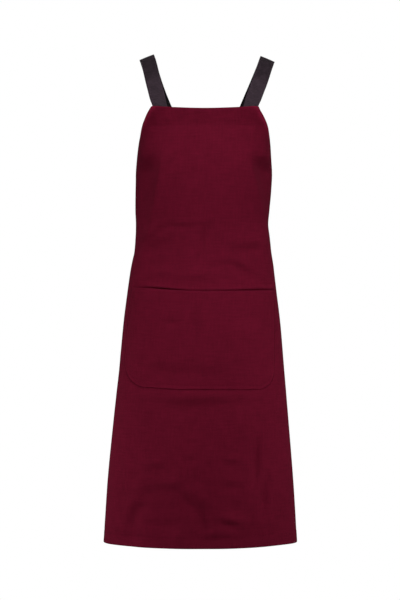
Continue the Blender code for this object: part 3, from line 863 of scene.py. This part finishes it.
def grid_line(grid, distances, at):
    """Points of the grid's surface at this distance from its sewn rim, round from left to right."""
    rows, columns = distances.shape
    middle = columns // 2
    left, right, bottom = [], [], []
    for row in range(rows):
        if distances[row].max() < at:
            break
        left.append([np.interp(at, distances[row, : middle + 1], grid[row, : middle + 1, axis]) for axis in range(3)])
        right.append([np.interp(at, distances[row, middle:][::-1], grid[row, middle:, axis][::-1]) for axis in range(3)])
    left, right = np.array(left), np.array(right)
    for place in range(columns):
        values = distances[:, place][::-1]
        if distances[rows // 2, place] > at * 1.02:
            bottom.append([np.interp(at, values[: rows // 2], grid[:, place, axis][::-1][: rows // 2]) for axis in range(3)])
    bottom = np.array(bottom)
    inside = (bottom[:, 0] > left[-1, 0] + 1.0) & (bottom[:, 0] < right[-1, 0] - 1.0)
    return np.concatenate([left, bottom[inside], right[::-1]])


def outward_at(grid, line):
    normal = grid_normals(grid).reshape(-1, 3)
    flat = grid.reshape(-1, 3)
    return np.array([normal[((flat - point) ** 2).sum(1).argmin()] for point in line])


pocket_outer = pocket_points + grid_normals(pocket_points) * (pocket_wall / 2 + 0.02)[..., None]
pocket_lines = []
for at in (2.0, 8.0):
    line = grid_line(pocket_outer, pocket_to_seam, at)
    pocket_lines.append((line, outward_at(pocket_outer, line)))
mouth_line = np.array(
    [
        [np.interp(POCKET_HEM, pocket_to_mouth[:40, place], pocket_outer[:40, place, axis]) for axis in range(3)]
        for place in range(6, pocket_to_mouth.shape[1] - 6)
    ]
)
pocket_lines.append((mouth_line, outward_at(pocket_outer, mouth_line)))


# ---------------------------------------------------------------- the straps
def strap_grid(route, ends, columns=10, step=2.6):
    _, _, back_x, back_z, back_lean = ends
    middles, faces = [], []
    for level in (BIB_TOP - FRONT_LAP, BIB_TOP - FRONT_LAP * 0.5, BIB_TOP + 1.0):
        turn = angle_at_front(front_x(ends, level), level)
        middle = surface(turn, level, STRAP_INSET)
        middles.append(middle)
        faces.append(surface(turn, level, STRAP_INSET + 1.0) - middle)
    for x, y, z, face_x, face_y, face_z in route:
        middles.append(np.array([x, y, z]))
        faces.append(np.array([face_x, face_y, face_z]))
    for level in (back_z + 18.0, back_z, back_z - BACK_LAP):
        turn = angle_at_back(back_x + back_lean * (back_z - level), level)
        middle = surface(turn, level, STRAP_INSET)
        middles.append(middle)
        faces.append(surface(turn, level, STRAP_INSET + 1.0) - middle)
    middles, faces = np.array(middles), np.array(faces)
    length = np.concatenate([[0.0], np.cumsum(np.linalg.norm(np.diff(middles, axis=0), axis=1))])
    count = int(round(length[-1] / step))
    at = np.linspace(0.0, length[-1], count + 1)
    line = np.stack([spline(length, middles[:, axis], at) for axis in range(3)], axis=1)
    face = np.stack([spline(length, faces[:, axis], at) for axis in range(3)], axis=1)
    way = np.gradient(line, axis=0)
    way /= np.linalg.norm(way, axis=1, keepdims=True)
    side = np.cross(way, face)
    side /= np.linalg.norm(side, axis=1, keepdims=True)
    out = np.cross(side, way)
    across = np.linspace(-0.5, 0.5, columns + 1) * STRAP_WIDTH
    flat = line[:, None, :] + side[:, None, :] * across[None, :, None]
    # Tape never lies quite flat: it cups a little across its width and rolls along its length.
    cup = 0.5 * (1 - (across / (STRAP_WIDTH / 2)) ** 2)
    roll = 0.35 * np.sin(at / 46.0)[:, None] * (across / STRAP_WIDTH)[None]
    flat = flat + out[:, None, :] * (cup[None, :] + roll)[..., None]
    level = flat[..., 2]
    front = surface(angle_at_front(flat[..., 0], level), level, STRAP_INSET)
    behind = surface(angle_at_back(flat[..., 0], level), level, STRAP_INSET)
    to_front = (line[:, 1] < 0) * fade(line[:, 2], BIB_TOP + 22.0, BIB_TOP + 2.0)
    to_back = (line[:, 1] > 0) * fade(line[:, 2], back_z + 45.0, back_z + 18.0)
    to_front, to_back = to_front[:, None, None], to_back[:, None, None]
    grid = flat + (front - flat) * to_front + (behind - flat) * to_back
    places = np.stack(
        [np.repeat(across[None], len(grid), axis=0), np.repeat(at[:, None], columns + 1, axis=1)], axis=-1
    )
    # The grid runs so that its normals point the way that the tape faces.
    if (grid_normals(grid) * out[:, None, :]).sum() < 0:
        grid, places = grid[:, ::-1], places[:, ::-1]
    return grid, places, length[-1]


strap_material = woven_tape("charcoal_tape", STRAP_COLOUR)
# The tape's reverse faces get a near-black copy of the tape: painted shade.
reverse_shade_material = woven_tape("charcoal_tape_reverse_painted_shade", STRAP_REVERSE_SHADE)
strap_pieces, strap_lengths = {}, {}
for name, node, route, ends in (
    ("strap_tape_left", "strap_left", STRAP_LEFT_ROUTE, STRAP_LEFT_ENDS),
    ("strap_tape_right", "strap_right", STRAP_RIGHT_ROUTE, STRAP_RIGHT_ENDS),
):
    grid, places, strap_length = strap_grid(route, ends)
    selvedge = 1.15 + 0.35 * np.abs(np.linspace(-1, 1, grid.shape[1])) ** 6
    piece, which = cloth_mesh(name, grid, np.repeat(selvedge[None], len(grid), axis=0), places)
    piece.data.materials.append(strap_material)
    piece.data.materials.append(reverse_shade_material)
    piece.data.polygons.foreach_set("material_index", which)
    strap_pieces[node] = piece
    strap_lengths[node] = strap_length


# ---------------------------------------------------------------- stitches
def box_stitch(ends):
    """The sewn box and cross that holds a strap's back end, as lines on the panel's outside."""
    half = (STRAP_WIDTH / 2 - 3.0) / math.cos(math.atan(ends[4]))
    top, bottom = ends[3] - 8.0, ends[3] - BACK_LAP + 3.0
    corners = [(ends[2] + ends[4] * (ends[3] - z) + side * half, z) for z, side in ((top, -1), (top, 1), (bottom, 1), (bottom, -1))]
    lines = []
    for start, end in ((0, 1), (1, 2), (2, 3), (3, 0), (0, 2), (1, 3)):
        part = np.linspace(0, 1, 12)
        x = corners[start][0] + (corners[end][0] - corners[start][0]) * part
        z = corners[start][1] + (corners[end][1] - corners[start][1]) * part
        lines.append(along_surface(angle_at_back(x, z), z, CLOTH_WALL / 2 + 0.35))
    return lines


thread_material = thread("burgundy_thread", THREAD_COLOUR)
panel_stitches = stitches("panel_stitches", panel_seams + box_stitch(STRAP_LEFT_ENDS) + box_stitch(STRAP_RIGHT_ENDS))
pocket_stitches = stitches("pocket_stitches", pocket_lines)
for piece in (panel_stitches, pocket_stitches):
    piece.data.materials.append(thread_material)

# ---------------------------------------------------------------- what rides on what
for piece, node in (
    (apron_cloth, "apron_panel"),
    (pocket_cloth, "pocket"),
    (strap_pieces["strap_left"], "strap_left"),
    (strap_pieces["strap_right"], "strap_right"),
):
    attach(piece, "root")
    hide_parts(node)
for piece, node in ((panel_stitches, "apron_panel"), (pocket_stitches, "pocket")):
    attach(piece, "root")


# ---------------------------------------------------------------- studio
def plain(name, colour, roughness):
    made = Nodes(name)
    made.shader.inputs["Base Color"].default_value = (*colour, 1.0)
    made.shader.inputs["Roughness"].default_value = roughness
    return made.material


FLOOR_SIDES, FLOOR_REACH, FLOOR_HEIGHT = 64, 2.3, -1.50
floor_mesh = bpy.data.meshes.new("floor")
turns = [2 * math.pi * step / FLOOR_SIDES for step in range(FLOOR_SIDES)]
floor_mesh.from_pydata(
    [(FLOOR_REACH * math.cos(turn), FLOOR_REACH * math.sin(turn), FLOOR_HEIGHT) for turn in turns], [], [tuple(range(FLOOR_SIDES))]
)
floor = bpy.data.objects.new("floor", floor_mesh)
bpy.context.scene.collection.objects.link(floor)
floor_mesh.materials.append(plain("pale_floor", (0.86, 0.86, 0.86), 0.9))
# The floor is bright to look at and lights nothing, as the backdrop behind it.
floor_nodes = floor_mesh.materials[0].node_tree
floor_seen = floor_nodes.nodes.new("ShaderNodeLightPath")
floor_nodes.links.new(floor_seen.outputs["Is Camera Ray"], floor_nodes.nodes["Principled BSDF"].inputs["Emission Strength"])
floor_nodes.nodes["Principled BSDF"].inputs["Emission Color"].default_value = (0.62, 0.62, 0.62, 1.0)


def softbox(name, place, target, width, height, power, spread=180.0):
    light = bpy.data.lights.new(name, "AREA")
    light.shape = "RECTANGLE"
    light.size, light.size_y = width, height
    light.energy = power
    light.spread = math.radians(spread)
    thing = bpy.data.objects.new(name, light)
    bpy.context.scene.collection.objects.link(thing)
    thing.location = place
    thing.rotation_euler = (Vector(target) - Vector(place)).to_track_quat("-Z", "Y").to_euler()
    return thing


softbox("key", (0.10, -2.1, 0.30), (0.0, -0.1, -0.3), 0.9, 0.7, 4.20)
softbox("chest", (0.10, -1.9, 0.5), (0.0, -0.1, -0.18), 0.7, 0.5, 0.19, 34.0)
softbox("top", (0.10, -1.6, 1.0), (0.0, -0.1, -0.3), 0.7, 0.5, 1.85, 60.0)
softbox("left_side", (-1.7, -0.3, -0.95), (-0.15, -0.05, -0.92), 0.5, 0.5, 0.60, 45.0)
softbox("right_side", (1.7, -0.3, -0.95), (0.15, -0.05, -0.92), 0.5, 0.5, 0.20, 45.0)
softbox("left_high", (-1.6, -1.3, 0.2), (-0.12, -0.05, -0.2), 0.5, 0.5, 0.12, 40.0)
softbox("right_high", (1.6, -1.3, 0.2), (0.12, -0.05, -0.2), 0.5, 0.5, 0.20, 40.0)
softbox("left_middle", (-1.7, -0.8, -0.45), (-0.14, -0.03, -0.72), 0.5, 0.5, 0.22, 40.0)
softbox("right_middle", (1.7, -0.8, -0.45), (0.14, -0.03, -0.72), 0.5, 0.5, 0.50, 40.0)
softbox("back_fill", (0.0, 2.4, -0.45), (0.0, 0.1, -0.55), 0.9, 0.7, 5.0, 80.0)

world = bpy.data.worlds.new("studio")
bpy.context.scene.world = world
world.use_nodes = True
tree = world.node_tree
background = tree.nodes["Background"]
seen = tree.nodes.new("ShaderNodeLightPath")
strength = tree.nodes.new("ShaderNodeMix")
strength.data_type = "FLOAT"
strength.inputs[2].default_value = 0.19
strength.inputs[3].default_value = 1.0
tree.links.new(seen.outputs["Is Camera Ray"], strength.inputs[0])
tree.links.new(strength.outputs[0], background.inputs["Strength"])
background.inputs["Color"].default_value = (1.0, 1.0, 1.0, 1.0)

bpy.context.scene.view_settings.view_transform = "Standard"
bpy.context.scene.view_settings.look = "None"
bpy.context.scene.view_settings.exposure = 0.0
bpy.context.scene.view_settings.gamma = 1.0

camera_data = bpy.data.cameras.new("camera")
camera_data.sensor_width = 36.0
camera_data.lens = 36.0 * 4.5 / 1.224
camera_data.clip_end = 100.0
camera = bpy.data.objects.new("camera", camera_data)
camera.location = (-0.0146, -4.61, -0.5057)
camera.rotation_euler = (math.pi / 2, 0.0, 0.0)
bpy.context.scene.collection.objects.link(camera)
bpy.context.scene.camera = camera
